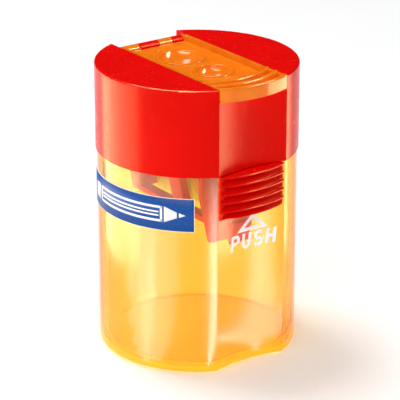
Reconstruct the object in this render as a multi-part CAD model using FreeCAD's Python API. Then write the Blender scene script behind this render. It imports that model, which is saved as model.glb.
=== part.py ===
"""Round tub sharpener with two pencil holes.

A clear tub catches the shavings. A lid with a deep skirt plugs onto its neck and carries a cage with a
two-hole metal sharpening block. A clear hinged flap closes both pencil holes, and a ribbed press latch
in the scooped front lets the lid go. Millimetres, +Z up, origin at the centre of the tub's underside,
-Y is the front (the press latch), +Y is the flap's hinge.
"""
import FreeCAD, Part

import math
import os

V = FreeCAD.Vector

# ---- overall -------------------------------------------------------------------------------------
LID_R = 21.0                # outside radius of the lid
LID_TOP = 61.0              # height of the lid's flat top
SKIRT_BOTTOM = 42.8         # lower edge of the lid's skirt
SKIRT_WALL = 0.9
TOP_WALL = 1.3
LID_CORNER_ROUND = 0.3
LID_TOP_ROUND = 0.4
TUB_R = 20.7                # the tub stands just inside the skirt's outline
TUB_BORE_R = 18.95
TUB_FLOOR = 1.4
FOOT_RECESS = 0.5           # hollow under the tub's floor, inside the foot ring
FOOT_WIDTH = 2.0
FOOT_ROUND = 0.9
TUB_EDGE_ROUND = 0.35
TUB_INNER_ROUND = 1.2
NECK_R = 19.95
NECK_TOP = 48.8
FIT_GAP = 0.1               # between faces that meet but can part

# ---- the scooped front ---------------------------------------------------------------------------
SCOOP_R = 30.0              # radius of the upright cylinder that scoops out the front
SCOOP_HALF_WIDTH = 8.4
SCOOP_SAG = 1.2             # how far the scoop dips behind its own chord
SCOOP_EDGE_Y = -math.sqrt(LID_R**2 - SCOOP_HALF_WIDTH**2)
SCOOP_AXIS_Y = SCOOP_EDGE_Y + SCOOP_SAG - SCOOP_R
TUB_SCOOP_R = SCOOP_R + 0.3
TUB_SCOOP_INNER_R = TUB_SCOOP_R + 1.3
NECK_SCOOP_R = SCOOP_R + SKIRT_WALL + 0.15
NOTCH_HALF_WIDTH = 8.0      # notch in the tub's front, where the latch sits
NOTCH_SILL = 33.1

# ---- deck and flap -------------------------------------------------------------------------------
DECK_TOP = 58.6             # floor of the groove that the flap lies in
DECK_WALL = 1.3
STRIP_HALF_WIDTH = SCOOP_HALF_WIDTH
FLAP_HALF_WIDTH = STRIP_HALF_WIDTH - 0.15
FLAP_BOTTOM = DECK_TOP + FIT_GAP
FLAP_PLATE_TOP = 59.8
FLAP_RIM_WALL = 0.7
FLAP_LIP_BOTTOM = 58.3
FLAP_LIP_WALL = 1.0
RIDGE_TOP = LID_TOP + 0.2
RIDGE_RADII = (15.3, 17.85)  # the two inner thumb ridges, concentric with the lid
RIDGE_HALF_WIDTH = 0.65

# ---- flap hinge ----------------------------------------------------------------------------------
HINGE_Y = 16.2
HINGE_Z = 59.6
KNUCKLE_R = 1.2
PIN_R = 0.5
PIN_FIT = 0.04
LID_LUGS = ((-3.5, 1.1), (4.8, 7.35))
LUG_GAP = 0.2
KNUCKLE_CLEARANCE = 0.15
PIN_HALF_LENGTH = 8.1
PIN_CHAMFER = 0.12

# ---- pencil holes: centre y, radius, half cone angle in degrees, depth of the round entry ----------
LARGE_HOLE = {"y": 5.47, "r": 5.1, "half_angle": 12.5, "entry": 5.0}
SMALL_HOLE = {"y": -5.83, "r": 4.1, "half_angle": 11.5, "entry": 4.5}
DECK_HOLE_GAP = 0.55        # the deck's holes are this much wider than the block's
COLLAR_WALL = 0.8           # tubes that guide the pencils from the deck down to the block
CUP_WALL = 0.8
CUP_MOUTH_GAP = 0.45        # a cup's mouth is this much narrower than the block's hole
LARGE_CUP = {"rim": 0.55, "depth": 2.5}
SMALL_CUP = {"rim": 0.65, "depth": 2.2}

# ---- sharpening block, blades and screws ---------------------------------------------------------
BLOCK_TOP = 53.5
BLOCK_BOTTOM = 29.9
BLOCK_Y = (-11.3, 13.0)
BLOCK_X = (-6.9, 6.4)
SEAT_STEP_Y = 0.6           # where the small hole's blade seat meets the large hole's
NIB_GAP = 0.15              # between the cage's nibs and the ends of the blade seats
BLADE_THICKNESS = 0.5
BLADE_LENGTH = 20.2
BLADE_BELOW = 18.9          # how far the blade reaches down its seat from the end of the entry
BLADE_EDGE_OFFSET = 0.3     # the cutting edge stands this far before the hole's centre line
BLADE_BEVEL = 1.3
THROAT_WIDTH = 2.9
THROAT_PAST_EDGE = 0.2       # the throat runs this far past the cutting edge
THROAT_DEPTH = 1.6
TIP_WAY_R = 0.8             # way out for the pencil's tip, below the cone
TIP_WAY_RISE = 3.5          # how far the way out reaches up into the cone
SCREW_R = 0.9
SCREW_HEAD_R = 1.75
SCREW_HEAD = 0.8
SCREW_LENGTH = 3.2
SCREW_HOLE_GAP = 0.15
SCREW_SLOT = 0.6
SCREW_SLOT_TURN = 35
LARGE_BLADE = {"width": 6.9, "screw_y": 9.3, "screw_down": 13.4}
SMALL_BLADE = {"width": 6.3, "screw_y": -1.7, "screw_down": 5.2}

# ---- cage under the deck -------------------------------------------------------------------------
CAGE_X = (-7.8, 7.5)
CAGE_Y = (-12.6, 14.2)
CAGE_BOTTOM = 30.2
CAGE_TOP = DECK_TOP - DECK_WALL - FIT_GAP
CAGE_FLOOR_TOP = 31.5
SKIN_OUT = 5.3              # the cage's sloping front stands this far in front of the large blade's seat
FRAME_IN = 3.0
FRAME_TOP = 54.6
CENTRE_BAR_Y = (-4.4, -0.4)
CENTRE_BAR_RECESS = 0.5
REAR_POST = 3.2
FRONT_POST = 1.2
BACK_WALL = 1.0
FLANGE_THICKNESS = 1.2
FLANGE_HALF_WIDTH = 8.3
TONGUE_BOTTOM = 25.9
TONGUE_RIGHT_X = 1.2
RAIL_BOTTOM = 54.4          # rails of the lid that stand beside the cage's flange
BEAD_REACH = 0.45           # beads on the rails, which the flange snaps past
BEAD_Y = (-6.0, 8.0)
BEAD_Z = (54.9, 55.8)

# ---- press latch ---------------------------------------------------------------------------------
LATCH_PIVOT_Y = -15.4
LATCH_PIVOT_Z = 44.6
LATCH_HALF_WIDTH = 7.7
LATCH_TOP = SKIRT_BOTTOM - 0.2
LATCH_BOTTOM = 33.6
LATCH_WALL = 1.2
RIB_COUNT = 5
RIB_HALF_WIDTH = 7.8
RIB_DEPTH = 1.35
TRUNNION_R = 0.8
TRUNNION_FIT = 0.06
BARREL_R = 1.3
EAR_X = (6.3, 7.4)
LEG_HALF_WIDTH = 2.5
CATCH_Z = (30.6, 31.6)      # the tub's catch ledge, which the leg's nose stands under
CATCH_Y = -15.75
CATCH_HALF_WIDTH = 2.6
NOSE_GAP_DOWN = 0.35        # the nose stands this far below the ledge
NOSE_GAP_BACK = 0.15        # and this far behind it, so that the lid can lift off with the latch at rest

# ---- label ---------------------------------------------------------------------------------------
LABEL_Z = (31.2, 38.3)
LABEL_ANGLES = (37.0, 133.0)  # degrees from the front (-Y) towards -X
LABEL_THICKNESS = 0.15


def box(x, y, z):
    """A box from (low, high) pairs."""
    return Part.makeBox(x[1] - x[0], y[1] - y[0], z[1] - z[0], V(x[0], y[0], z[0]))


def drum(radius, z, x=0.0, y=0.0):
    """An upright cylinder between the two heights in z."""
    return Part.makeCylinder(radius, z[1] - z[0], V(x, y, z[0]))


def rod(radius, x, y, z):
    """A cylinder along X between the two places in x."""
    return Part.makeCylinder(radius, x[1] - x[0], V(x[0], y, z), V(1, 0, 0))


def scooped(radius, scoop_radius, z):
    """A round slab with the scoop taken out of its front."""
    return drum(radius, z).cut(drum(scoop_radius, z, y=SCOOP_AXIS_Y))


def fused(shapes):
    """All the shapes as one clean solid."""
    whole = shapes[0].multiFuse(shapes[1:]) if len(shapes) > 1 else shapes[0]
    return whole.removeSplitter()


def side_profile(points, half_width):
    """A polygon of (y, z) points pushed out along X to both sides of the middle."""
    corners = [V(-half_width, y, z) for y, z in points]
    face = Part.Face(Part.makePolygon(corners + corners[:1]))
    return face.extrude(V(2 * half_width, 0, 0))


def revolved(points, y=0.0):
    """A closed (radius, z) outline turned about the upright line through (0, y)."""
    corners = [V(r, y, z) for r, z in points]
    face = Part.Face(Part.makePolygon(corners + corners[:1]))
    return face.revolve(V(0, y, 0), V(0, 0, 1), 360)


def edges_where(shape, test):
    """The shape's edges whose middle passes the test."""
    found = []
    for edge in shape.Edges:
        middle = edge.valueAt((edge.FirstParameter + edge.LastParameter) / 2)
        if test(edge, middle):
            found.append(edge)
    return found


def is_upright(edge):
    """True for a straight vertical edge."""
    a, b = edge.Vertexes[0].Point, edge.Vertexes[-1].Point
    return abs(a.x - b.x) < 1e-6 and abs(a.y - b.y) < 1e-6 and abs(a.z - b.z) > 1.0


def on_seat(shape, hole):
    """Moves a shape from a seat's own frame onto the sloping seat of a hole's blade.

    In the seat's frame the seat is the plane x = 0, -x faces out, +z runs up the slope, and the origin is
    where the round entry ends.
    """
    turned = shape.copy()
    turned.rotate(V(0, 0, 0), V(0, 1, 0), -hole["half_angle"])
    turned.translate(V(-hole["r"], 0, BLOCK_TOP - hole["entry"]))
    return turned


def outside_seat(hole, offset):
    """Everything in front of a hole's seat plane, moved outward by offset."""
    return on_seat(box((-30, -offset), (-40, 40), (-60, 40)), hole)


def pencil_bore(hole):
    """The round entry and the cone that guide a pencil, and the way out for its tip."""
    r = hole["r"]
    entry_end = BLOCK_TOP - hole["entry"]
    depth = r / math.tan(math.radians(hole["half_angle"]))
    entry = drum(r, (entry_end, BLOCK_TOP + 1), y=hole["y"])
    cone = Part.makeCone(0.0, r, depth, V(0, hole["y"], entry_end - depth))
    tip_way = drum(TIP_WAY_R, (BLOCK_BOTTOM - 1, entry_end - depth + TIP_WAY_RISE), y=hole["y"])
    return fused([entry, cone, tip_way])


def make_tub():
    """Clear tub: scooped front, foot ring, neck for the lid, notch for the latch and its catch ledge."""
    shoulder = SKIRT_BOTTOM - FIT_GAP
    body = scooped(TUB_R, TUB_SCOOP_R, (0, shoulder))
    body = body.makeFillet(TUB_EDGE_ROUND, edges_where(body, lambda e, m: is_upright(e)))
    body = body.makeFillet(FOOT_ROUND, edges_where(body, lambda e, m: m.z < 1e-6))
    neck = scooped(NECK_R, NECK_SCOOP_R, (shoulder - 1, NECK_TOP))
    inside = scooped(TUB_BORE_R, TUB_SCOOP_INNER_R, (TUB_FLOOR, NECK_TOP + 1))
    inside = inside.makeFillet(TUB_INNER_ROUND, edges_where(inside, lambda e, m: abs(m.z - TUB_FLOOR) < 1e-6))
    foot_hollow = scooped(TUB_R - FOOT_WIDTH, TUB_SCOOP_R + FOOT_WIDTH, (-1, FOOT_RECESS))
    notch = box((-NOTCH_HALF_WIDTH, NOTCH_HALF_WIDTH), (-LID_R, -12), (NOTCH_SILL, NECK_TOP + 1))
    inner_face_y = SCOOP_AXIS_Y + TUB_SCOOP_INNER_R
    ledge = box((-CATCH_HALF_WIDTH, CATCH_HALF_WIDTH), (inner_face_y - 0.3, CATCH_Y), CATCH_Z)
    return fused([fused([body, neck]).cut(inside).cut(foot_hollow).cut(notch), ledge])


def latch_ear(side):
    """One of the two ears behind the lid's scooped wall that carry the press latch."""
    y, z = LATCH_PIVOT_Y, LATCH_PIVOT_Z
    ear = side_profile([(-19, 43.0), (y - 0.4, 43.0), (y + 1.2, z - 0.9), (y + 1.6, z), (y + 1.2, z + 0.9),
                        (y - 0.4, 46.6), (-19, 48.4)], (EAR_X[1] - EAR_X[0]) / 2)
    ear.translate(V(side * (EAR_X[0] + EAR_X[1]) / 2, 0, 0))
    ear = ear.cut(drum(SCOOP_R + SKIRT_WALL / 2, (40, 60), y=SCOOP_AXIS_Y))
    return ear.cut(rod(TRUNNION_R + TRUNNION_FIT, (-9, 9), y, z))


def make_lid_shell():
    """Lid: two raised half-moon tops, a sunken deck between them, a skirt, hinge lugs and cage rails."""
    shell = scooped(LID_R, SCOOP_R, (SKIRT_BOTTOM, LID_TOP))
    shell = shell.makeFillet(LID_CORNER_ROUND, edges_where(shell, lambda e, m: is_upright(e)))
    shell = shell.makeFillet(LID_TOP_ROUND, edges_where(shell, lambda e, m: m.z > LID_TOP - 1e-6))
    rail_x = STRIP_HALF_WIDTH + SKIRT_WALL
    deck_bottom = DECK_TOP - DECK_WALL
    inner = LID_R - SKIRT_WALL, SCOOP_R + SKIRT_WALL
    low_hollow = scooped(*inner, (SKIRT_BOTTOM - 1, deck_bottom))
    high_hollow = scooped(*inner, (deck_bottom - 1, LID_TOP - TOP_WALL))
    high_hollow = high_hollow.cut(box((-rail_x, rail_x), (-30, 30), (deck_bottom - 2, LID_TOP)))
    groove = box((-STRIP_HALF_WIDTH, STRIP_HALF_WIDTH), (-30, 30), (DECK_TOP, LID_TOP + 1))
    shell = shell.cut(low_hollow).cut(high_hollow).cut(groove)
    pieces = [shell]
    for side in (-1, 1):
        wall = sorted((side * STRIP_HALF_WIDTH, side * rail_x))
        pieces.append(box(wall, (CAGE_Y[0] - 0.8, CAGE_Y[1] + 0.8), (RAIL_BOTTOM, deck_bottom + 0.5)))
        bead = sorted((side * (STRIP_HALF_WIDTH - BEAD_REACH), side * (STRIP_HALF_WIDTH + 0.2)))
        pieces.append(box(bead, BEAD_Y, BEAD_Z))
        pieces.append(latch_ear(side))
    for hole in (LARGE_HOLE, SMALL_HOLE):
        collar_r = hole["r"] + DECK_HOLE_GAP + COLLAR_WALL
        pieces.append(drum(collar_r, (BLOCK_TOP + FIT_GAP, DECK_TOP - 0.1), y=hole["y"]))
    for x in LID_LUGS:
        pieces.append(rod(KNUCKLE_R, x, HINGE_Y, HINGE_Z))
        pieces.append(box(x, (HINGE_Y - KNUCKLE_R, HINGE_Y + KNUCKLE_R), (DECK_TOP - 0.3, HINGE_Z)))
    shell = fused(pieces)
    for x in flap_knuckles():
        room_x = (x[0] - LUG_GAP, x[1] + LUG_GAP)
        shell = shell.cut(rod(KNUCKLE_R + KNUCKLE_CLEARANCE, room_x, HINGE_Y, HINGE_Z))
    shell = shell.cut(rod(PIN_R, (-LID_R, STRIP_HALF_WIDTH), HINGE_Y, HINGE_Z).common(
        box((-STRIP_HALF_WIDTH, STRIP_HALF_WIDTH), (0, 30), (50, 70))))
    for hole in (LARGE_HOLE, SMALL_HOLE):
        shell = shell.cut(drum(hole["r"] + DECK_HOLE_GAP, (BLOCK_TOP, LID_TOP), y=hole["y"]))
    return shell.removeSplitter()


def flap_knuckles():
    """The stretches of the hinge line that belong to the flap, between the lid's lugs."""
    first, second = LID_LUGS
    return (
        (-FLAP_HALF_WIDTH, first[0] - LUG_GAP),
        (first[1] + LUG_GAP, second[0] - LUG_GAP),
        (second[1] + LUG_GAP, FLAP_HALF_WIDTH),
    )


def flap_cup(hole, cup):
    """A round plug cup that dips into a pencil hole, with a raised rim. Returns (solid, hollow)."""
    mouth = hole["r"] - CUP_MOUTH_GAP
    depth = cup["depth"]
    rim_r = cup["rim"] / 2
    floor_z = FLAP_PLATE_TOP - depth
    ball = (mouth**2 + depth**2) / (2 * depth)
    hollow = Part.makeSphere(ball, V(0, hole["y"], floor_z + ball))
    hollow = hollow.common(drum(mouth, (floor_z - 1, FLAP_PLATE_TOP), y=hole["y"]))
    hollow = hollow.fuse(drum(mouth, (FLAP_PLATE_TOP - 0.01, LID_TOP), y=hole["y"]))
    shell = Part.makeSphere(ball + CUP_WALL, V(0, hole["y"], floor_z + ball))
    shell = shell.common(drum(mouth + CUP_WALL, (floor_z - CUP_WALL - 1, FLAP_PLATE_TOP), y=hole["y"]))
    rim = Part.makeTorus(mouth + rim_r, rim_r, V(0, hole["y"], FLAP_PLATE_TOP))
    return shell.fuse(rim), hollow


def make_flap():
    """Clear flap: a shallow tray with side rims, two plug cups, thumb ridges, a front lip and knuckles."""
    plate_z = (FLAP_BOTTOM, FLAP_PLATE_TOP)
    strip = box((-FLAP_HALF_WIDTH, FLAP_HALF_WIDTH), (-30, HINGE_Y), (FLAP_LIP_BOTTOM, LID_TOP + 1))
    plate = drum(LID_R, plate_z)
    rims = drum(LID_R, (FLAP_BOTTOM, LID_TOP)).cut(
        box((-FLAP_HALF_WIDTH + FLAP_RIM_WALL, FLAP_HALF_WIDTH - FLAP_RIM_WALL), (-30, 30), (50, 70)))
    rims = rims.cut(box((-30, 30), (HINGE_Y - 1.0, 30), (50, 70)))
    lip_r = LID_R - FLAP_LIP_WALL
    front_only = box((-30, 30), (-30, 0), (50, 70))
    lip = drum(LID_R, (FLAP_BOTTOM, RIDGE_TOP - 0.35)).cut(drum(lip_r, (50, 70))).common(front_only)
    hook = drum(LID_R, (FLAP_LIP_BOTTOM, FLAP_BOTTOM)).cut(drum(lip_r, (50, 70)))
    hook = hook.common(drum(SCOOP_R - 0.15, (50, 70), y=SCOOP_AXIS_Y))
    lip_top = Part.makeTorus(LID_R - FLAP_LIP_WALL / 2, FLAP_LIP_WALL / 2,
                             V(0, 0, RIDGE_TOP - FLAP_LIP_WALL / 2)).common(front_only)
    parts = [plate, rims, lip, hook, lip_top]
    for radius in RIDGE_RADII:
        crest = RIDGE_TOP - RIDGE_HALF_WIDTH
        wall = drum(radius + RIDGE_HALF_WIDTH, (FLAP_PLATE_TOP - 0.2, crest))
        wall = wall.cut(drum(radius - RIDGE_HALF_WIDTH, (50, 70)))
        crown = Part.makeTorus(radius, RIDGE_HALF_WIDTH, V(0, 0, crest))
        parts.append(wall.fuse(crown).common(front_only))
    flap = fused([p.common(strip) for p in parts])
    cups = [flap_cup(LARGE_HOLE, LARGE_CUP), flap_cup(SMALL_HOLE, SMALL_CUP)]
    flap = fused([flap] + [cup for cup, hollow in cups])
    for cup, hollow in cups:
        flap = flap.cut(hollow)
    for x in LID_LUGS:
        gap_x = (x[0] - LUG_GAP, x[1] + LUG_GAP)
        flap = flap.cut(box(gap_x, (HINGE_Y - KNUCKLE_R - 0.25, 30), (50, 70)))
    knuckles = [rod(KNUCKLE_R, x, HINGE_Y, HINGE_Z) for x in flap_knuckles()]
    flap = fused([flap] + knuckles)
    return flap.cut(rod(PIN_R + PIN_FIT, (-LID_R, LID_R), HINGE_Y, HINGE_Z)).removeSplitter()


def make_hinge_pin():
    """Steel pin through the lid's lugs and the flap's knuckles."""
    pin = rod(PIN_R, (-PIN_HALF_LENGTH, PIN_HALF_LENGTH), HINGE_Y, HINGE_Z)
    return pin.makeChamfer(PIN_CHAMFER, edges_where(pin, lambda e, m: len(e.Vertexes) == 1))


def make_block():
    """Wedge-shaped metal block with two pencil bores, sloping blade seats, throats and screw holes."""
    spans = ((LARGE_HOLE, (SEAT_STEP_Y, BLOCK_Y[1])), (SMALL_HOLE, (BLOCK_Y[0], SEAT_STEP_Y)))
    slices = [box(BLOCK_X, y, (BLOCK_BOTTOM, BLOCK_TOP)).cut(outside_seat(hole, 0.0)) for hole, y in spans]
    block = fused(slices)
    for hole, blade in ((LARGE_HOLE, LARGE_BLADE), (SMALL_HOLE, SMALL_BLADE)):
        block = block.cut(pencil_bore(hole))
        edge_y = hole["y"] - BLADE_EDGE_OFFSET
        throat_y = (edge_y - THROAT_WIDTH, edge_y + THROAT_PAST_EDGE)
        throat = box((-2, THROAT_DEPTH), throat_y, (-BLADE_BELOW, 0.4))
        block = block.cut(on_seat(throat, hole))
        mouth = V(-0.1, blade["screw_y"], -blade["screw_down"])
        tapped = Part.makeCylinder(SCREW_R, SCREW_LENGTH + 0.4, mouth, V(1, 0, 0))
        block = block.cut(on_seat(tapped, hole))
    return block.removeSplitter()


def make_blade(hole, blade):
    """Flat blade with a bevelled cutting edge and a screw hole."""
    edge_y = hole["y"] - BLADE_EDGE_OFFSET
    far_y = edge_y + blade["width"]
    low = -BLADE_BELOW
    outline = [(0, edge_y), (0, far_y), (-BLADE_THICKNESS, far_y), (-BLADE_THICKNESS, edge_y + BLADE_BEVEL)]
    corners = [V(x, y, low) for x, y in outline]
    plate = Part.Face(Part.makePolygon(corners + corners[:1])).extrude(V(0, 0, BLADE_LENGTH))
    mouth = V(-2 * BLADE_THICKNESS, blade["screw_y"], -blade["screw_down"])
    clamp_hole = Part.makeCylinder(SCREW_R + SCREW_HOLE_GAP, 3 * BLADE_THICKNESS, mouth, V(1, 0, 0))
    return on_seat(plate.cut(clamp_hole), hole)


def make_screw(hole, blade):
    """Slotted screw that clamps a blade to its seat."""
    at = V(-BLADE_THICKNESS, blade["screw_y"], -blade["screw_down"])
    head = Part.makeCylinder(SCREW_HEAD_R, SCREW_HEAD, at, V(-1, 0, 0))
    outer_x = at.x - SCREW_HEAD
    head = head.makeFillet(0.3, edges_where(head, lambda e, m: m.x < outer_x + 1e-6 and len(e.Vertexes) == 1))
    shank = Part.makeCylinder(SCREW_R, SCREW_LENGTH + BLADE_THICKNESS, at, V(1, 0, 0))
    slot = box((outer_x - 0.1, outer_x + 0.45), (at.y - 3, at.y + 3),
               (at.z - SCREW_SLOT / 2, at.z + SCREW_SLOT / 2))
    slot.rotate(at, V(1, 0, 0), SCREW_SLOT_TURN)
    return on_seat(fused([head, shank]).cut(slot), hole)


def make_cage():
    """Open-topped basket that holds the block under the deck, with windows for the blades and a tongue."""
    whole_z = (CAGE_BOTTOM, CAGE_TOP)
    cage = box(CAGE_X, CAGE_Y, whole_z)
    front_y = (CAGE_Y[0], CAGE_Y[0] + FRONT_POST)
    cage = cage.fuse(box((CAGE_X[0], TONGUE_RIGHT_X), front_y, (TONGUE_BOTTOM, CAGE_BOTTOM + 1)))
    cage = cage.cut(outside_seat(LARGE_HOLE, SKIN_OUT))
    bar_front = outside_seat(LARGE_HOLE, SKIN_OUT - CENTRE_BAR_RECESS)
    cage = cage.cut(bar_front.common(box((-30, 30), CENTRE_BAR_Y, (CAGE_FLOOR_TOP, FRAME_TOP))))
    flange = box((-FLANGE_HALF_WIDTH, FLANGE_HALF_WIDTH), (CAGE_Y[0] - 0.5, CAGE_Y[1] + 0.5),
                 (CAGE_TOP - FLANGE_THICKNESS, CAGE_TOP))
    pocket_y = (BLOCK_Y[0] - FIT_GAP, BLOCK_Y[1] + FIT_GAP)
    pocket_x = (BLOCK_X[0] - FIT_GAP, CAGE_X[1] - BACK_WALL)
    pocket = box(pocket_x, pocket_y, (BLOCK_BOTTOM - FIT_GAP, CAGE_TOP + 1))
    pocket = pocket.cut(outside_seat(LARGE_HOLE, FRAME_IN))
    cage = cage.fuse(flange).cut(pocket)
    windows_y = ((CENTRE_BAR_Y[1], CAGE_Y[1] - REAR_POST), (pocket_y[0], CENTRE_BAR_Y[0]))
    for y in windows_y:
        cage = cage.cut(box((-20, 0), y, (CAGE_FLOOR_TOP, FRAME_TOP)))
    nibs = []
    for hole, y in ((LARGE_HOLE, (pocket_y[1] - 0.6, pocket_y[1] + 0.1)),
                    (SMALL_HOLE, (pocket_y[0] - 0.1, pocket_y[0] + 0.5))):
        nib = on_seat(box((-FRAME_IN - 0.1, 3), y, (-16.5, 0)), LARGE_HOLE)
        nibs.append(nib.common(outside_seat(hole, NIB_GAP)))
    cage = fused([cage] + nibs)
    for hole in (LARGE_HOLE, SMALL_HOLE):
        collar_r = hole["r"] + DECK_HOLE_GAP + COLLAR_WALL
        cage = cage.cut(drum(collar_r + 0.25, (BLOCK_TOP, CAGE_TOP + 1), y=hole["y"]))
    return cage


def rib(top_z, pitch):
    """One louvre of the press latch: full depth at its lower edge, cut back below the crest above it."""
    crest = LID_R
    groove = LID_R - RIB_DEPTH
    outline = [(15.5, top_z), (crest - 0.12, top_z), (crest, top_z - 0.12), (crest, top_z - 0.3),
               (groove, top_z - pitch * 0.62), (crest - 0.45, top_z - pitch), (15.5, top_z - pitch)]
    return revolved(outline)


def make_latch():
    """Press latch: scooped plate with louvres, a pivot barrel with trunnions and a leg with a nose."""
    face_z = (LATCH_BOTTOM, LATCH_TOP)
    channel = drum(SCOOP_R, (0, 70), y=SCOOP_AXIS_Y)
    wide = box((-LATCH_HALF_WIDTH, LATCH_HALF_WIDTH), (-30, -12), face_z)
    plate = drum(SCOOP_R + LATCH_WALL, face_z, y=SCOOP_AXIS_Y).cut(channel).common(wide)
    pitch = (LATCH_TOP - LATCH_BOTTOM) / RIB_COUNT
    louvres = fused([rib(LATCH_TOP - i * pitch, pitch) for i in range(RIB_COUNT)])
    keep = drum(SCOOP_R + 0.3, (0, 70), y=SCOOP_AXIS_Y)
    louvres = louvres.common(keep).common(box((-RIB_HALF_WIDTH, RIB_HALF_WIDTH), (-30, -12), face_z))
    barrel = rod(BARREL_R, (-EAR_X[0] + FIT_GAP, EAR_X[0] - FIT_GAP), LATCH_PIVOT_Y, LATCH_PIVOT_Z)
    trunnions = rod(TRUNNION_R, (-EAR_X[1], EAR_X[1]), LATCH_PIVOT_Y, LATCH_PIVOT_Z)
    web = side_profile([(-17.6, LATCH_TOP), (-16.7, LATCH_TOP), (-16.7, LATCH_PIVOT_Z),
                        (-15.0, LATCH_PIVOT_Z), (-15.0, LATCH_TOP - 0.6), (-16.3, LATCH_TOP - 2.6),
                        (-17.6, LATCH_TOP - 2.6)], EAR_X[0] - FIT_GAP)
    web = web.cut(channel)
    nose_z = CATCH_Z[0] - NOSE_GAP_DOWN
    nose_y = CATCH_Y + NOSE_GAP_BACK
    leg = side_profile([(-17.2, 36.6), (-13.9, 36.6), (-13.9, nose_z), (-14.3, 25.7), (-14.8, 25.7),
                        (-14.95, nose_z - 2.3), (nose_y, nose_z - 0.9), (nose_y, nose_z),
                        (-14.9, nose_z + 0.25), (-14.9, LATCH_BOTTOM), (-17.2, LATCH_BOTTOM)], LEG_HALF_WIDTH)
    leg = leg.cut(channel)
    return fused([plate, louvres, barrel, trunnions, web, leg])


def make_label():
    """Wrap-round paper label on the tub's side."""
    inner = TUB_R
    ring = drum(inner + LABEL_THICKNESS, LABEL_Z).cut(drum(inner, LABEL_Z))
    start, end = LABEL_ANGLES
    reach = 40.0
    middle = [V(0, 0, LABEL_Z[0])]
    for i in range(5):
        angle = math.radians(start + (end - start) * i / 4)
        middle.append(V(-reach * math.sin(angle), -reach * math.cos(angle), LABEL_Z[0]))
    sector = Part.Face(Part.makePolygon(middle + middle[:1])).extrude(V(0, 0, LABEL_Z[1] - LABEL_Z[0]))
    return ring.common(sector)


def main():
    parts = {
        "clear_tub": make_tub(),
        "side_label": make_label(),
        "lid_shell": make_lid_shell(),
        "sharpener_cage": make_cage(),
        "sharpener_block": make_block(),
        "large_blade": make_blade(LARGE_HOLE, LARGE_BLADE),
        "small_blade": make_blade(SMALL_HOLE, SMALL_BLADE),
        "large_blade_screw": make_screw(LARGE_HOLE, LARGE_BLADE),
        "small_blade_screw": make_screw(SMALL_HOLE, SMALL_BLADE),
        "press_latch": make_latch(),
        "hole_flap": make_flap(),
        "flap_hinge_pin": make_hinge_pin(),
    }
    os.makedirs("parts", exist_ok=True)
    for name, shape in parts.items():
        solids = shape.Solids
        print(name, "solids", len(solids), "valid", shape.isValid(), "volume", round(shape.Volume, 2))
        shape = solids[0] if len(solids) == 1 else Part.makeCompound(solids)
        shape.exportStep(f"parts/{name}.step")


main()
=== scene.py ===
"""Two-hole tub pencil sharpener: camera, light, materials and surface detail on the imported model.

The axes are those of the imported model: +Z up, -Y the scooped front, +Y the flap's hinge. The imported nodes
keep their shapes. This script gives them materials and adds what lies on them: the label's printed face, the
print on the scooped front and the raised marks on the flap. These are drawn in millimetres. The camera and
the lamps are placed in metres.
"""
import math

import bmesh
import bpy
from mathutils import Matrix, Vector


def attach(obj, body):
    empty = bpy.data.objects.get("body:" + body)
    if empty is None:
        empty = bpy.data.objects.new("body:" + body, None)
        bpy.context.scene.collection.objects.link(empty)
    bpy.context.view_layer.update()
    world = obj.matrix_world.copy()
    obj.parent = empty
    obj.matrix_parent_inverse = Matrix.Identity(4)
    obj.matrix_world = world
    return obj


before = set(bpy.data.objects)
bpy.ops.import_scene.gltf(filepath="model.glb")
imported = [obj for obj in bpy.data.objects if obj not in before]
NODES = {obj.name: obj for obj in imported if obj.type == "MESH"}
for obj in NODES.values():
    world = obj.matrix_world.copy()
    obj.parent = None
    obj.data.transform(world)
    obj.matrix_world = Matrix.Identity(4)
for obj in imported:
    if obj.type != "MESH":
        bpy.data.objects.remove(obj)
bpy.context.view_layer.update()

MM = 0.001

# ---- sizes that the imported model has, in millimetres ----------------------------------------------
LID_TOP_Z = 61.0
SCOOP_AXIS_Y = -48.046          # axis of the upright cylinder that scoops out the front
TUB_SCOOP_R = 30.3              # radius of the tub's scooped face
LABEL_R = 20.85                 # outside of the label
LABEL_Z = (31.2, 38.3)
LABEL_ANGLES = (37.0, 133.0)    # degrees from the front towards -X
FLAP_TOP_Z = 59.8               # floor of the flap's tray
LARGE_HOLE_Y = 5.47
SMALL_HOLE_Y = -5.83

# ---- the label's face, in millimetres -------------------------------------------------------------
LABEL_MARGIN = 0.1
FACE_LAYER = (0.0, 0.02)        # how far above the label the blue film's two sides lie
MARK_LAYER = (0.02, 0.035)      # the same for the white ink on it
STRIP_STEP = 0.5                # longest straight run of a strip that follows the label
PENCIL_BODY = (6.6, 24.6)       # front and back end, from the label's front end
PENCIL_HALF = 1.7               # half its thickness
PENCIL_STROKE = 0.5
RIDGE_LINE = (0.2, 0.55)        # near and far side of the two inner lines, from the middle
RIDGE_INSET = 0.8
FERRULE_GAP = 0.6
RUBBER_GAP = 0.4
RUBBER_LENGTH = 2.0
RUBBER_TAPER = 0.85
PENCIL_CONE = ((0.35, 1.7), (3.05, 0.6))     # how far in front of the body, with half the thickness there
PENCIL_LEAD = ((3.45, 0.5), (4.75, 0.04))

# ---- the print on the scooped front, in millimetres -----------------------------------------------
INK_HEIGHT = 0.04
PRINT_CENTRE_X = 0.9
TRIANGLE = ((-2.9, 29.4), (3.0, 29.4), (0.2, 32.1))     # x from the print's centre, and z
TRIANGLE_STROKE = 0.72
TRIANGLE_STEP = 0.6
WORD = "PUSH"
LETTER_HEIGHT = 3.3
LETTER_WIDTH = 2.2
LETTER_GAP = 0.75
LETTER_STROKE = 0.68
LETTER_STEP = 0.5
LETTER_BASE_Z = 25.3
LETTER_LEAN = 0.1               # sideways per height

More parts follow.
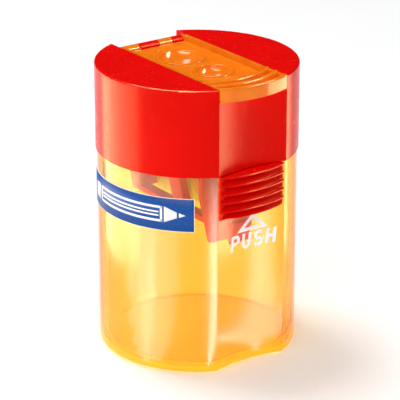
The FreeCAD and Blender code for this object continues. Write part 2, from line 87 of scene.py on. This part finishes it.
# ---- the raised marks on the flap, in millimetres -------------------------------------------------
GRIP_LENGTH = 0.75
GRIP_WIDTH = 0.42
GRIP_HEIGHT = 0.22
GRIP_SINK = 0.05                # how deep a mark reaches into the flap
GRIP_RINGS = 4
GRIP_SIDES = 16
GRIP_COUNT = 9                  # marks in each arc


# ---- mesh helpers ---------------------------------------------------------------------------------
SHARPEST_MITRE = 0.4            # cosine of half the turn past which a corner is cut short


def new_piece(name, bm, body, material, smooth=True):
    """Finishes a bmesh in millimetres as a piece on a body, with its material."""
    bmesh.ops.scale(bm, vec=(MM, MM, MM), verts=bm.verts)
    bmesh.ops.recalc_face_normals(bm, faces=bm.faces)
    mesh = bpy.data.meshes.new(name)
    bm.to_mesh(mesh)
    bm.free()
    for polygon in mesh.polygons:
        polygon.use_smooth = smooth
    piece = bpy.data.objects.new(name, mesh)
    bpy.context.scene.collection.objects.link(piece)
    mesh.materials.append(material)
    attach(piece, body)


def add_slab(bm, low, high, place):
    """A thin closed slab between two matching rows of 2-D points.

    place(point, layer) puts a point in space, on the slab's lower side for layer 0 and its upper side for 1.
    """
    rings = []
    for a, b in zip(low, high):
        rings.append([bm.verts.new(place(p, layer)) for p, layer in ((a, 0), (b, 0), (b, 1), (a, 1))])
    for one, two in zip(rings, rings[1:]):
        for i in range(4):
            bm.faces.new((one[i], one[(i + 1) % 4], two[(i + 1) % 4], two[i]))
    bm.faces.new(rings[0])
    bm.faces.new(rings[-1])


def add_strip(bm, start, end, place):
    """A slab between two edges, each given as (along, low, high), in steps short enough to follow a curve."""
    low = (Vector((start[0], start[1])), Vector((end[0], end[1])))
    high = (Vector((start[0], start[2])), Vector((end[0], end[2])))
    steps = max(math.ceil((b - a).length / STRIP_STEP) for a, b in (low, high))
    rows = [[a.lerp(b, i / steps) for i in range(steps + 1)] for a, b in (low, high)]
    add_slab(bm, rows[0], rows[1], place)


def add_ribbon(bm, points, width, place, closed=False):
    """A stroke of the given width along 2-D points, with mitred corners."""
    flat = [Vector(p) for p in points]
    last = len(flat) - 1
    left, right = [], []
    for i, here in enumerate(flat):
        ways = []
        if i > 0 or closed:
            ways.append((here - flat[i - 1]).normalized())
        if i < last or closed:
            ways.append((flat[0 if i == last else i + 1] - here).normalized())
        along = (ways[0] + ways[-1]).normalized()
        normal = Vector((-along.y, along.x))
        reach = width / 2 / max(normal.dot(Vector((-ways[0].y, ways[0].x))), SHARPEST_MITRE)
        left.append(here + normal * reach)
        right.append(here - normal * reach)
    if closed:
        left.append(left[0])
        right.append(right[0])
    add_slab(bm, right, left, place)


def spread(points, step):
    """Adds points along straight runs, so that a flat drawing can follow a curved surface."""
    out = [Vector(points[0])]
    for a, b in zip(points, points[1:]):
        a, b = Vector(a), Vector(b)
        parts = max(1, math.ceil((b - a).length / step))
        out += [a.lerp(b, i / parts) for i in range(1, parts + 1)]
    return out


def arc(centre, radius_x, radius_y, start, end, count):
    """Points along an elliptical arc, angles in degrees."""
    angles = [math.radians(start + (end - start) * i / count) for i in range(count + 1)]
    return [(centre[0] + radius_x * math.cos(a), centre[1] + radius_y * math.sin(a)) for a in angles]


# ---- materials ------------------------------------------------------------------------------------
NOISE_SPAN = (0.35, 0.65)       # where most of a noise's values lie


class Nodes:
    """A small helper for building a material's node tree."""

    def __init__(self, name):
        self.material = bpy.data.materials.new(name)
        self.material.use_nodes = True
        self.tree = self.material.node_tree
        self.tree.nodes.clear()
        self.output = self.add("ShaderNodeOutputMaterial")
        self.coords = self.add("ShaderNodeTexCoord").outputs["Object"]

    def add(self, kind, **values):
        """A node with its inputs set by name, with underscores for spaces."""
        node = self.tree.nodes.new(kind)
        for key, value in values.items():
            node.inputs[key.replace("_", " ")].default_value = value
        return node

    def link(self, a, b):
        self.tree.links.new(a, b)

    def noise(self, scale, stretch=(1, 1, 1), detail=3.0, roughness=0.5):
        """Noise with about `scale` bumps a millimetre, times `stretch` along each axis."""
        mapping = self.add("ShaderNodeMapping", Scale=[s / MM for s in stretch])
        self.link(self.coords, mapping.inputs["Vector"])
        node = self.add("ShaderNodeTexNoise", Scale=scale, Detail=detail, Roughness=roughness)
        self.link(mapping.outputs["Vector"], node.inputs["Vector"])
        return node.outputs["Fac"]

    def ramp(self, value, low, high):
        """A value or colour that runs from low to high as a noise does."""
        node = self.add("ShaderNodeValToRGB")
        for element, place, colour in zip(node.color_ramp.elements, NOISE_SPAN, (low, high)):
            element.position = place
            element.color = colour if isinstance(colour, tuple) else (colour, colour, colour, 1)
        self.link(value, node.inputs["Fac"])
        return node.outputs["Color"]

    def bump(self, height, distance, after=None):
        """Bump with its height in millimetres, on top of the normal in `after` if there is one."""
        node = self.add("ShaderNodeBump", Strength=1.0, Distance=distance * MM)
        self.link(height, node.inputs["Height"])
        if after:
            self.link(after, node.inputs["Normal"])
        return node.outputs["Normal"]

    def principled(self, **values):
        return self.add("ShaderNodeBsdfPrincipled", **values)

    def finish(self, shader, volume=None):
        self.link(shader, self.output.inputs["Surface"])
        if volume:
            self.link(volume, self.output.inputs["Volume"])
        return self.material

    def lets_light_through(self, shader, tint):
        """The shader, but lamps shine through it as through clear coloured plastic."""
        path = self.add("ShaderNodeLightPath")
        clear = self.add("ShaderNodeBsdfTransparent", Color=tint)
        mix = self.add("ShaderNodeMixShader")
        self.link(path.outputs["Is Shadow Ray"], mix.inputs[0])
        self.link(shader, mix.inputs[1])
        self.link(clear.outputs[0], mix.inputs[2])
        return mix.outputs[0]


def clear_amber():
    """Polished clear amber plastic: the colour comes from its depth, with faint moulding waves and scuffs."""
    n = Nodes("clear amber plastic")
    waves = n.bump(n.noise(0.12, (1, 1, 0.35), 1.0), 0.05)
    normal = n.bump(n.noise(2.5, detail=4.0), 0.0006, after=waves)
    shader = n.principled(Base_Color=(1.0, 0.82, 0.3, 1), IOR=1.05, Transmission_Weight=0.97,
                          Coat_Weight=0.65, Coat_Roughness=0.2, Coat_IOR=1.5)
    n.link(n.ramp(n.noise(0.5, (1, 1, 0.2), 5.0), 0.015, 0.07), shader.inputs["Roughness"])
    n.link(normal, shader.inputs["Normal"])
    depth = n.add("ShaderNodeVolumeAbsorption", Color=(0.99, 0.88, 0.04, 1), Density=460.0)
    return n.finish(n.lets_light_through(shader.outputs[0], (0.83, 0.85, 0.88, 1)), depth.outputs[0])


def clear_orange():
    """Deeper orange clear plastic of the flap, a little cloudy."""
    n = Nodes("clear orange plastic")
    shader = n.principled(IOR=1.15, Transmission_Weight=0.4, Coat_Weight=0.4, Coat_Roughness=0.16)
    n.link(n.ramp(n.noise(0.3, detail=2.0), (0.8, 0.25, 0.01, 1), (0.86, 0.31, 0.015, 1)),
           shader.inputs["Base Color"])
    n.link(n.ramp(n.noise(0.8, detail=4.0), 0.06, 0.14), shader.inputs["Roughness"])
    n.link(n.bump(n.noise(1.2, detail=3.0), 0.002), shader.inputs["Normal"])
    return n.finish(n.lets_light_through(shader.outputs[0], (0.85, 0.5, 0.15, 1)))


def red_gloss():
    """Glossy red moulded plastic with a faint orange peel and fine rubbing marks."""
    n = Nodes("red gloss plastic")
    peel = n.bump(n.noise(1.1, detail=2.0), 0.0025)
    marks = n.bump(n.noise(3.0, (1, 1, 0.08), 3.0, 0.5), 0.0003, after=peel)
    shader = n.principled(IOR=1.5, Specular_IOR_Level=0.13, Specular_Tint=(1.0, 0.5, 0.24, 1))
    n.link(n.ramp(n.noise(0.08, detail=2.0), (0.68, 0.001, 0.001, 1), (0.73, 0.0015, 0.0012, 1)),
           shader.inputs["Base Color"])
    n.link(n.ramp(n.noise(0.7, (1, 1, 0.3), 5.0, 0.65), 0.2, 0.28), shader.inputs["Roughness"])
    n.link(marks, shader.inputs["Normal"])
    return n.finish(shader.outputs[0])


def cast_metal():
    """Dull milled light alloy with fine tool lines."""
    n = Nodes("milled light alloy")
    lines = n.noise(0.9, (0.25, 3.0, 0.5), 3.0, 0.5)
    shader = n.principled(Metallic=0.1, Specular_IOR_Level=0.4)
    n.link(n.ramp(n.noise(0.5, detail=4.0), (0.74, 0.8, 0.88, 1), (0.84, 0.9, 0.98, 1)),
           shader.inputs["Base Color"])
    n.link(n.ramp(lines, 0.32, 0.5), shader.inputs["Roughness"])
    n.link(n.bump(lines, 0.004), shader.inputs["Normal"])
    return n.finish(shader.outputs[0])


def ground_steel(name, stretch, colour):
    """Steel with fine grinding lines, close together along the axes that stretch makes large."""
    n = Nodes(name)
    lines = n.noise(1.5, stretch, 5.0, 0.6)
    shader = n.principled(Metallic=0.3, Specular_IOR_Level=0.5)
    n.link(n.ramp(n.noise(0.4, detail=3.0), tuple(c * 0.93 for c in colour) + (1,), colour + (1,)),
           shader.inputs["Base Color"])
    n.link(n.ramp(lines, 0.18, 0.34), shader.inputs["Roughness"])
    n.link(n.bump(lines, 0.003), shader.inputs["Normal"])
    return n.finish(shader.outputs[0])


def film(name, dark, light, roughness):
    """Satin printed film with a fine ink grain."""
    n = Nodes(name)
    shader = n.principled(Specular_IOR_Level=0.12)
    n.link(n.ramp(n.noise(1.6, detail=5.0), dark + (1,), light + (1,)), shader.inputs["Base Color"])
    n.link(n.ramp(n.noise(2.0, detail=3.0), roughness - 0.04, roughness + 0.05), shader.inputs["Roughness"])
    n.link(n.bump(n.noise(4.0, detail=2.0), 0.0015), shader.inputs["Normal"])
    return n.finish(shader.outputs[0])


def floor_paint():
    """Plain matt off-white."""
    n = Nodes("pale floor")
    shader = n.principled(Roughness=0.75, Specular_IOR_Level=0.1)
    n.link(n.ramp(n.noise(0.01, detail=2.0), (0.9, 0.905, 0.91, 1), (0.92, 0.925, 0.93, 1)),
           shader.inputs["Base Color"])
    return n.finish(shader.outputs[0])


def dress(material, *names):
    """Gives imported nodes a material."""
    for name in names:
        for slot in NODES[name].material_slots:
            slot.material = material


# ---- the label's face -----------------------------------------------------------------------------
def on_label(layers):
    """Places (arc length from the label's front end, height) at one of two heights above the label."""
    def place(point, layer):
        radius = LABEL_R + layers[layer]
        angle = math.radians(LABEL_ANGLES[0]) + point[0] / LABEL_R
        return (-radius * math.sin(angle), -radius * math.cos(angle), point[1])
    return place


def pencil_mark():
    """A plain pencil in outline along the label, with its tip towards the label's front end."""
    middle = sum(LABEL_Z) / 2
    place = on_label(MARK_LAYER)
    front, back = PENCIL_BODY
    mark = bmesh.new()

    def band(start, end, start_half, end_half):
        """A band about the middle line, with half its thickness at the start and at the end."""
        edges = [(s, middle - half, middle + half) for s, half in ((start, start_half), (end, end_half))]
        add_strip(mark, edges[0], edges[1], place)

    for side in (-1, 1):
        for start, end, near, far in (
            (front, back, PENCIL_HALF - PENCIL_STROKE, PENCIL_HALF),
            (front + RIDGE_INSET, back - RIDGE_INSET, RIDGE_LINE[0], RIDGE_LINE[1]),
        ):
            low, high = sorted((middle + side * near, middle + side * far))
            add_strip(mark, (start, low, high), (end, low, high), place)
    ferrule = back + FERRULE_GAP
    for start in (front, back - PENCIL_STROKE, ferrule):
        band(start, start + PENCIL_STROKE, PENCIL_HALF, PENCIL_HALF)
    rubber = ferrule + PENCIL_STROKE + RUBBER_GAP
    band(rubber, rubber + RUBBER_LENGTH, PENCIL_HALF, PENCIL_HALF * RUBBER_TAPER)
    for (near, near_half), (far, far_half) in (PENCIL_CONE, PENCIL_LEAD):
        band(front - far, front - near, far_half, near_half)
    return mark


def label_face(blue, white):
    """The label's blue face inside a thin white margin, with a plain white pencil drawn on it."""
    length = math.radians(LABEL_ANGLES[1] - LABEL_ANGLES[0]) * LABEL_R
    low, high = LABEL_Z[0] + LABEL_MARGIN, LABEL_Z[1] - LABEL_MARGIN
    face = bmesh.new()
    add_strip(face, (LABEL_MARGIN, low, high), (length - LABEL_MARGIN, low, high), on_label(FACE_LAYER))
    new_piece("label_blue_face", face, "tub", blue)
    new_piece("label_pencil_mark", pencil_mark(), "tub", white)


# ---- the print on the scooped front ---------------------------------------------------------------
def on_panel(point, layer):
    """Places (x, z) on the tub's scooped face, with the ink standing a little proud."""
    radius = TUB_SCOOP_R - INK_HEIGHT * layer
    x, z = point
    return (x, SCOOP_AXIS_Y + math.sqrt(radius**2 - x**2), z)


def letter_strokes(letter):
    """The strokes of P, U, S or H in a box one wide and one high."""
    left, right = 0.14, 0.86
    if letter == "P":
        curve = arc((0.55, 0.7), 0.33, 0.22, 80, -80, 10)
        bowl = [(left, 0.92), (0.55, 0.92)] + curve + [(0.55, 0.48), (left, 0.48)]
        return [[(left, 0.0), (left, 1.0)], bowl]
    if letter == "U":
        curve = arc((0.5, 0.4), 0.36, 0.31, 180, 360, 14)
        return [[(left, 1.0), (left, 0.4)] + curve + [(right, 0.4), (right, 1.0)]]
    if letter == "S":
        upper = arc((0.5, 0.7), 0.34, 0.21, 20, 270, 16)
        lower = arc((0.5, 0.3), 0.36, 0.21, 90, -160, 16)
        return [upper + [(0.5, 0.5)] + lower[1:]]
    return [[(left, 0.0), (left, 1.0)], [(right, 0.0), (right, 1.0)], [(left, 0.5), (right, 0.5)]]


def in_word(point, left):
    """A point of a letter's box, leaned over and put in the word, as (x, z)."""
    height = point[1] * LETTER_HEIGHT
    return (left + point[0] * LETTER_WIDTH + LETTER_LEAN * height, LETTER_BASE_Z + height)


def panel_print(white):
    """A plain triangle and a plain word under the press latch."""
    corners = [(PRINT_CENTRE_X + x, z) for x, z in TRIANGLE]
    outline = spread(corners + corners[:1], TRIANGLE_STEP)[:-1]
    mark = bmesh.new()
    add_ribbon(mark, outline, TRIANGLE_STROKE, on_panel, closed=True)
    new_piece("triangle_print", mark, "tub", white, smooth=False)
    pitch = LETTER_WIDTH + LETTER_GAP
    first = PRINT_CENTRE_X - (len(WORD) * pitch - LETTER_GAP) / 2
    for i, letter in enumerate(WORD):
        ink = bmesh.new()
        for stroke in letter_strokes(letter):
            points = [in_word(point, first + i * pitch) for point in stroke]
            add_ribbon(ink, spread(points, LETTER_STEP), LETTER_STROKE, on_panel)
        new_piece(f"push_print_{i}", ink, "tub", white, smooth=False)


# ---- the raised marks on the flap -----------------------------------------------------------------
def grip_mark(bm, centre, turn):
    """A small raised mark with a rounded top, flat on the flap, with its length along the angle turn."""
    loops = []
    for ring in range(GRIP_RINGS):
        rise = math.pi / 2 * ring / GRIP_RINGS
        shrink = math.cos(rise)
        z = FLAP_TOP_Z - GRIP_SINK + (GRIP_HEIGHT + GRIP_SINK) * math.sin(rise)
        loop = []
        for i in range(GRIP_SIDES):
            a = 2 * math.pi * i / GRIP_SIDES
            u = (GRIP_LENGTH / 2 - GRIP_WIDTH / 2 * (1 - shrink)) * math.cos(a)
            v = GRIP_WIDTH / 2 * shrink * math.sin(a)
            x = centre[0] + u * math.cos(turn) - v * math.sin(turn)
            y = centre[1] + u * math.sin(turn) + v * math.cos(turn)
            loop.append(bm.verts.new((x, y, z)))
        loops.append(loop)
    top = bm.verts.new((centre[0], centre[1], FLAP_TOP_Z + GRIP_HEIGHT))
    bm.faces.new(loops[0])
    for i in range(GRIP_SIDES):
        j = (i + 1) % GRIP_SIDES
        for one, two in zip(loops, loops[1:]):
            bm.faces.new((one[i], one[j], two[j], two[i]))
        bm.faces.new((loops[-1][i], loops[-1][j], top))


def flap_marks(orange):
    """Arcs of plain raised marks beside the two cups, each with its radius and its first and last angle."""
    for name, hole_y, radius, first, last in (
        ("large_cup_marks", LARGE_HOLE_Y, 6.6, 100, 190),
        ("small_cup_marks", SMALL_HOLE_Y, 5.7, 250, 350),
    ):
        bm = bmesh.new()
        for i in range(GRIP_COUNT):
            angle = math.radians(first + (last - first) * i / (GRIP_COUNT - 1))
            centre = (radius * math.cos(angle), hole_y + radius * math.sin(angle))
            grip_mark(bm, centre, angle + math.pi / 2)
        new_piece(name, bm, "flap", orange)


# ---- camera ---------------------------------------------------------------------------------------
VIEW_AZIMUTH = -35.75           # degrees from the front towards +X
VIEW_ELEVATION = 21.18
VIEW_DISTANCE = 0.462
VIEW_LENS = 199.0
AIM_RIGHT = 0.63 * MM           # how far the view is centred to the right of the object's middle
AIM_DOWN = 0.36 * MM
MIDDLE = Vector((0, 0, LID_TOP_Z / 2 * MM))


def direction(right_of_camera, elevation):
    """Unit vector from the object, at an angle to the right of the camera as seen from above."""
    a, e, turn = math.radians(VIEW_AZIMUTH), math.radians(elevation), math.radians(right_of_camera)
    towards = Vector((math.sin(a), -math.cos(a), 0))
    right = Vector((math.cos(a), math.sin(a), 0))
    flat = towards * math.cos(turn) + right * math.sin(turn)
    return flat * math.cos(e) + Vector((0, 0, math.sin(e)))


def make_camera():
    data = bpy.data.cameras.new("camera")
    data.lens = VIEW_LENS
    data.sensor_width = 36.0
    camera = bpy.data.objects.new("camera", data)
    back = direction(0, VIEW_ELEVATION)
    camera.rotation_mode = "QUATERNION"
    camera.rotation_quaternion = (-back).to_track_quat("-Z", "Y")
    right = camera.rotation_quaternion @ Vector((1, 0, 0))
    up = camera.rotation_quaternion @ Vector((0, 1, 0))
    camera.location = MIDDLE + right * AIM_RIGHT - up * AIM_DOWN + back * VIEW_DISTANCE
    bpy.context.scene.collection.objects.link(camera)
    bpy.context.scene.camera = camera


# ---- floor and light ------------------------------------------------------------------------------
FLOOR_HALF = 2.5
FLOOR_Z = -0.2 * MM             # just under the foot ring, so that no two faces coincide
WARM = (1.0, 0.72, 0.4)
PALE_WARM = (1.0, 0.85, 0.75)
GLOW_NEAR = 3 * MM              # from a glow's start to the near edge of its first floor lamp
GLOW_GROWTH = 1.8               # a floor lamp's far edge is this many times as far as its near edge
GLOW_COUNT = 6
GLOW_LIFT = 0.3 * MM            # height of the floor lamps
GLOW_START_R = 21.0 * MM        # just outside the tub's round wall
PANEL_SPOT = Vector((2.4, -17.8, 0)) * MM       # on the scooped face
EDGE_SPOT = Vector((-10.6, -18.1, 0)) * MM      # just outside the scooped face's edge on the -X side


def area_lamp(name, size, power, colour=(1, 1, 1), shine_only=False, only=None):
    """A rectangular soft lamp that the camera doesn't see, still to be placed.

    With shine_only it shows in reflections and lights nothing else. It reaches only the collection in `only`,
    if one is given.
    """
    data = bpy.data.lights.new(name, "AREA")
    data.shape = "RECTANGLE"
    data.size, data.size_y = size
    data.energy = power
    data.color = colour
    lamp = bpy.data.objects.new(name, data)
    lamp.visible_camera = False
    if shine_only:
        lamp.visible_diffuse = False
        lamp.visible_transmission = False
    if only:
        lamp.light_linking.receiver_collection = only
    bpy.context.scene.collection.objects.link(lamp)
    return lamp


def softbox(name, right_of_camera, distance, middle_z, size, power, **look):
    """An area lamp that faces the object's middle. look is what else area_lamp takes."""
    lamp = area_lamp(name, size, power, **look)
    lamp.location = direction(right_of_camera, 0) * distance + Vector((0, 0, middle_z))
    lamp.rotation_mode = "QUATERNION"
    lamp.rotation_quaternion = (MIDDLE - lamp.location).to_track_quat("-Z", "Y")


def floor_glow(name, start, facing, half_angle, radiance, only):
    """Lamps that lie on the floor facing up and show only as an upright sheen on a wall.

    They fan out along the mirrored view from start, where the wall faces a number of degrees to the right of
    the camera. They widen with their distance, so that the sheen is equally wide all the way up.
    """
    along = direction(2 * facing, 0)
    down = Vector((0, 0, -1))
    for i in range(GLOW_COUNT):
        near = GLOW_NEAR * GLOW_GROWTH**i
        far = near * GLOW_GROWTH
        size = ((near + far) * math.tan(math.radians(half_angle)), far - near)
        lamp = area_lamp(name, size, radiance * math.pi * size[0] * size[1], shine_only=True, only=only)
        lamp.matrix_world = Matrix((along.cross(down), along, down)).transposed().to_4x4()
        lamp.location = start + along * (near + far) / 2 + Vector((0, 0, GLOW_LIFT))


def receivers(node):
    """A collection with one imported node, for a lamp that only this node shows."""
    collection = bpy.data.collections.new(f"{node}_only")
    collection.objects.link(NODES[node])
    return collection


def make_floor():
    bm = bmesh.new()
    bmesh.ops.create_grid(bm, x_segments=8, y_segments=8, size=FLOOR_HALF)
    mesh = bpy.data.meshes.new("floor")
    bm.to_mesh(mesh)
    bm.free()
    floor = bpy.data.objects.new("floor", mesh)
    floor.location.z = FLOOR_Z
    mesh.materials.append(floor_paint())
    bpy.context.scene.collection.objects.link(floor)


def make_highlights():
    """Lamps that show only in the gloss: on the whole object, on the lid's rim and on the tub's walls."""
    softbox("left_strip", -85, 0.055, 0.031, (0.056, 0.052), 0.115, colour=WARM, shine_only=True)
    softbox("right_strip", 90, 0.055, 0.031, (0.036, 0.052), 0.075, colour=WARM, shine_only=True)
    softbox("top_strip", -20, 0.12, 0.26, (0.2, 0.025), 0.6, colour=WARM, shine_only=True)
    softbox("crest_strip", 92, 0.15, 0.2, (0.1, 0.03), 0.9, colour=WARM, shine_only=True)
    lid_only = receivers("lid_shell")
    for turn, reach, power in ((-82, 0.17, 3.0), (-50, 0.15, 4.5), (-10, 0.1, 6.5)):
        softbox(f"lid_edge_line_{-turn}", turn, reach, 0.26, (0.12, 0.1), power,
                colour=PALE_WARM, shine_only=True, only=lid_only)
    tub_only = receivers("clear_tub")
    floor_glow("tub_band", direction(-30, 0) * GLOW_START_R, -30, 12, 9.0, tub_only)
    floor_glow("tub_sheen", direction(-27, 0) * GLOW_START_R, -27, 36, 4.5, tub_only)
    floor_glow("panel_band", PANEL_SPOT, 31, 6, 9.0, tub_only)
    floor_glow("edge_line", EDGE_SPOT, 11, 5, 19.0, tub_only)


def make_light():
    """The lamps that light the object, and an even white world that the gloss doesn't mirror."""
    softbox("key", -130, 0.22, 0.62, (0.22, 0.22), 2.4)
    softbox("front_fill", 0, 0.6, 0.6, (0.5, 0.4), 1.9)
    softbox("left_fill", -50, 0.6, 0.12, (0.3, 0.2), 1.1)
    world = bpy.data.worlds.new("studio")
    world.use_nodes = True
    background = world.node_tree.nodes["Background"]
    background.inputs["Color"].default_value = (1, 1, 1, 1)
    background.inputs["Strength"].default_value = 0.5
    bpy.context.scene.world = world
    world.cycles_visibility.glossy = False
    bpy.context.scene.view_settings.view_transform = "Standard"


# ---- putting it together ---------------------------------------------------------------------------
orange = clear_orange()
white_ink = film("white ink", (0.93, 0.93, 0.92), (0.98, 0.98, 0.97), 0.4)
blue_film = film("blue film", (0.008, 0.07, 0.3), (0.012, 0.085, 0.34), 0.35)
dress(clear_amber(), "clear_tub")
dress(orange, "hole_flap")
dress(red_gloss(), "lid_shell", "sharpener_cage", "press_latch")
dress(cast_metal(), "sharpener_block")
dress(ground_steel("ground blade steel", (1, 6, 0.3), (0.76, 0.82, 0.9)), "large_blade", "small_blade")
dress(ground_steel("turned steel", (2, 2, 2), (0.66, 0.66, 0.67)), "large_blade_screw", "small_blade_screw",
      "flap_hinge_pin")
dress(white_ink, "side_label")
label_face(blue_film, white_ink)
panel_print(white_ink)
flap_marks(orange)
make_camera()
make_floor()
make_highlights()
make_light()
